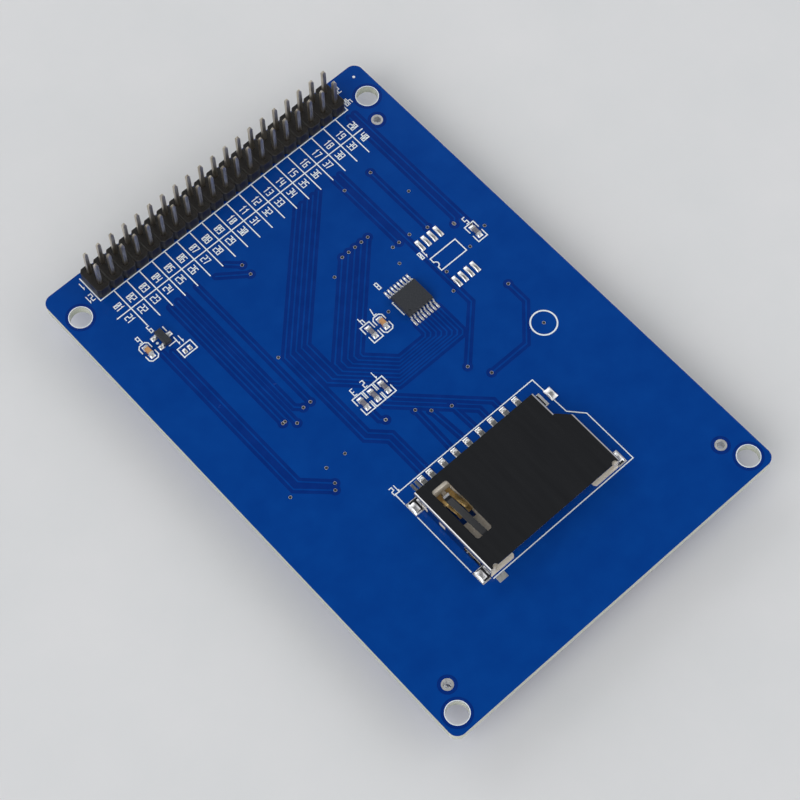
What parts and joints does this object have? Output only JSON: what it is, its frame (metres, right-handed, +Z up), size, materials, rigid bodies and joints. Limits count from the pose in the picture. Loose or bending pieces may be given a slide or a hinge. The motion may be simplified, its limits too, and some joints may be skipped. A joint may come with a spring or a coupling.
{
  "type": "tft display module",
  "caption": "Blue display board seen from the back: long pin header, metal card socket and small chips, with a touch display on its front face and a bolt hole in each corner.",
  "frame": {"origin": "under the middle of the circuit board, on the outer face of the touch film that the module rests on", "axes": "+Z up out of the back of the board, along the header pins; +Y towards the board's edge with the pin header; +X along the header's rows"},
  "size_m": [0.065, 0.0946, 0.0145],
  "materials": {
    "solder_mask_board": "blue solder mask over glass fibre",
    "tinned_copper": "tinned",
    "header_moulding": "black moulding",
    "pin_metal": "plated brass, square",
    "solder": "bright solder",
    "stamped_steel": "polished stainless sheet",
    "socket_moulding": "natural heat-proof moulding",
    "contact_metal": "gold plated spring",
    "chip_resin": "dark moulding compound",
    "lead_metal": "tinned",
    "resistor_ceramic": "glazed ceramic",
    "capacitor_ceramic": "fired ceramic",
    "end_metal": "tinned",
    "foam_tape": "double-sided tape",
    "frame_moulding": "white moulding",
    "reflector": "bright film",
    "acrylic": "clear light guide",
    "optic_film": "diffuser and prism films",
    "lamp_body": "white lamp",
    "flex_film": "amber flexible circuit",
    "display_glass": "thin glass",
    "polariser": "grey polariser",
    "silicon": "bare silicon chip",
    "black_tape": "black tape",
    "gasket_tape": "adhesive gasket",
    "touch_face": "clear film with a grey border"
  },
  "bodies": {
    "root": {"circuit_board": "solder_mask_board", "plated_eyelets": "tinned_copper", "solder_lands": "tinned_copper", "header_insulator": "header_moulding", "header_pins_back": "pin_metal", "header_pins_front": "pin_metal", "header_solder": "solder", "card_socket_shell": "stamped_steel", "card_socket_base": "socket_moulding", "card_contact_1": "contact_metal", "card_contact_2": "contact_metal", "card_contact_3": "contact_metal", "card_contact_4": "contact_metal", "card_contact_5": "contact_metal", "card_contact_6": "contact_metal", "card_contact_7": "contact_metal", "card_contact_8": "contact_metal", "card_contact_9": "contact_metal", "detect_contact_1": "contact_metal", "detect_contact_2": "contact_metal", "touch_controller_package": "chip_resin", "touch_controller_leads": "lead_metal", "regulator_package": "chip_resin", "regulator_leads": "lead_metal", "resistor_1": "resistor_ceramic", "resistor_2": "resistor_ceramic", "resistor_3": "resistor_ceramic", "resistor_4": "resistor_ceramic", "resistor_5": "resistor_ceramic", "resistor_1_ends": "end_metal", "resistor_2_ends": "end_metal", "resistor_3_ends": "end_metal", "resistor_4_ends": "end_metal", "resistor_5_ends": "end_metal", "capacitor_1": "capacitor_ceramic", "capacitor_2": "capacitor_ceramic", "capacitor_1_ends": "end_metal", "capacitor_2_ends": "end_metal", "mounting_tape": "foam_tape", "display_frame": "frame_moulding", "reflector_sheet": "reflector", "light_guide": "acrylic", "optic_films": "optic_film", "backlight_lamps": "lamp_body", "lamp_strip": "flex_film", "rear_polariser": "polariser", "array_glass": "display_glass", "filter_glass": "display_glass", "front_polariser": "polariser", "driver_chip": "silicon", "display_flex": "flex_film", "bond_ring": "black_tape", "touch_glass": "display_glass", "touch_gasket": "gasket_tape", "touch_film": "touch_face", "touch_tail": "flex_film"}
  },
  "joints": []
}
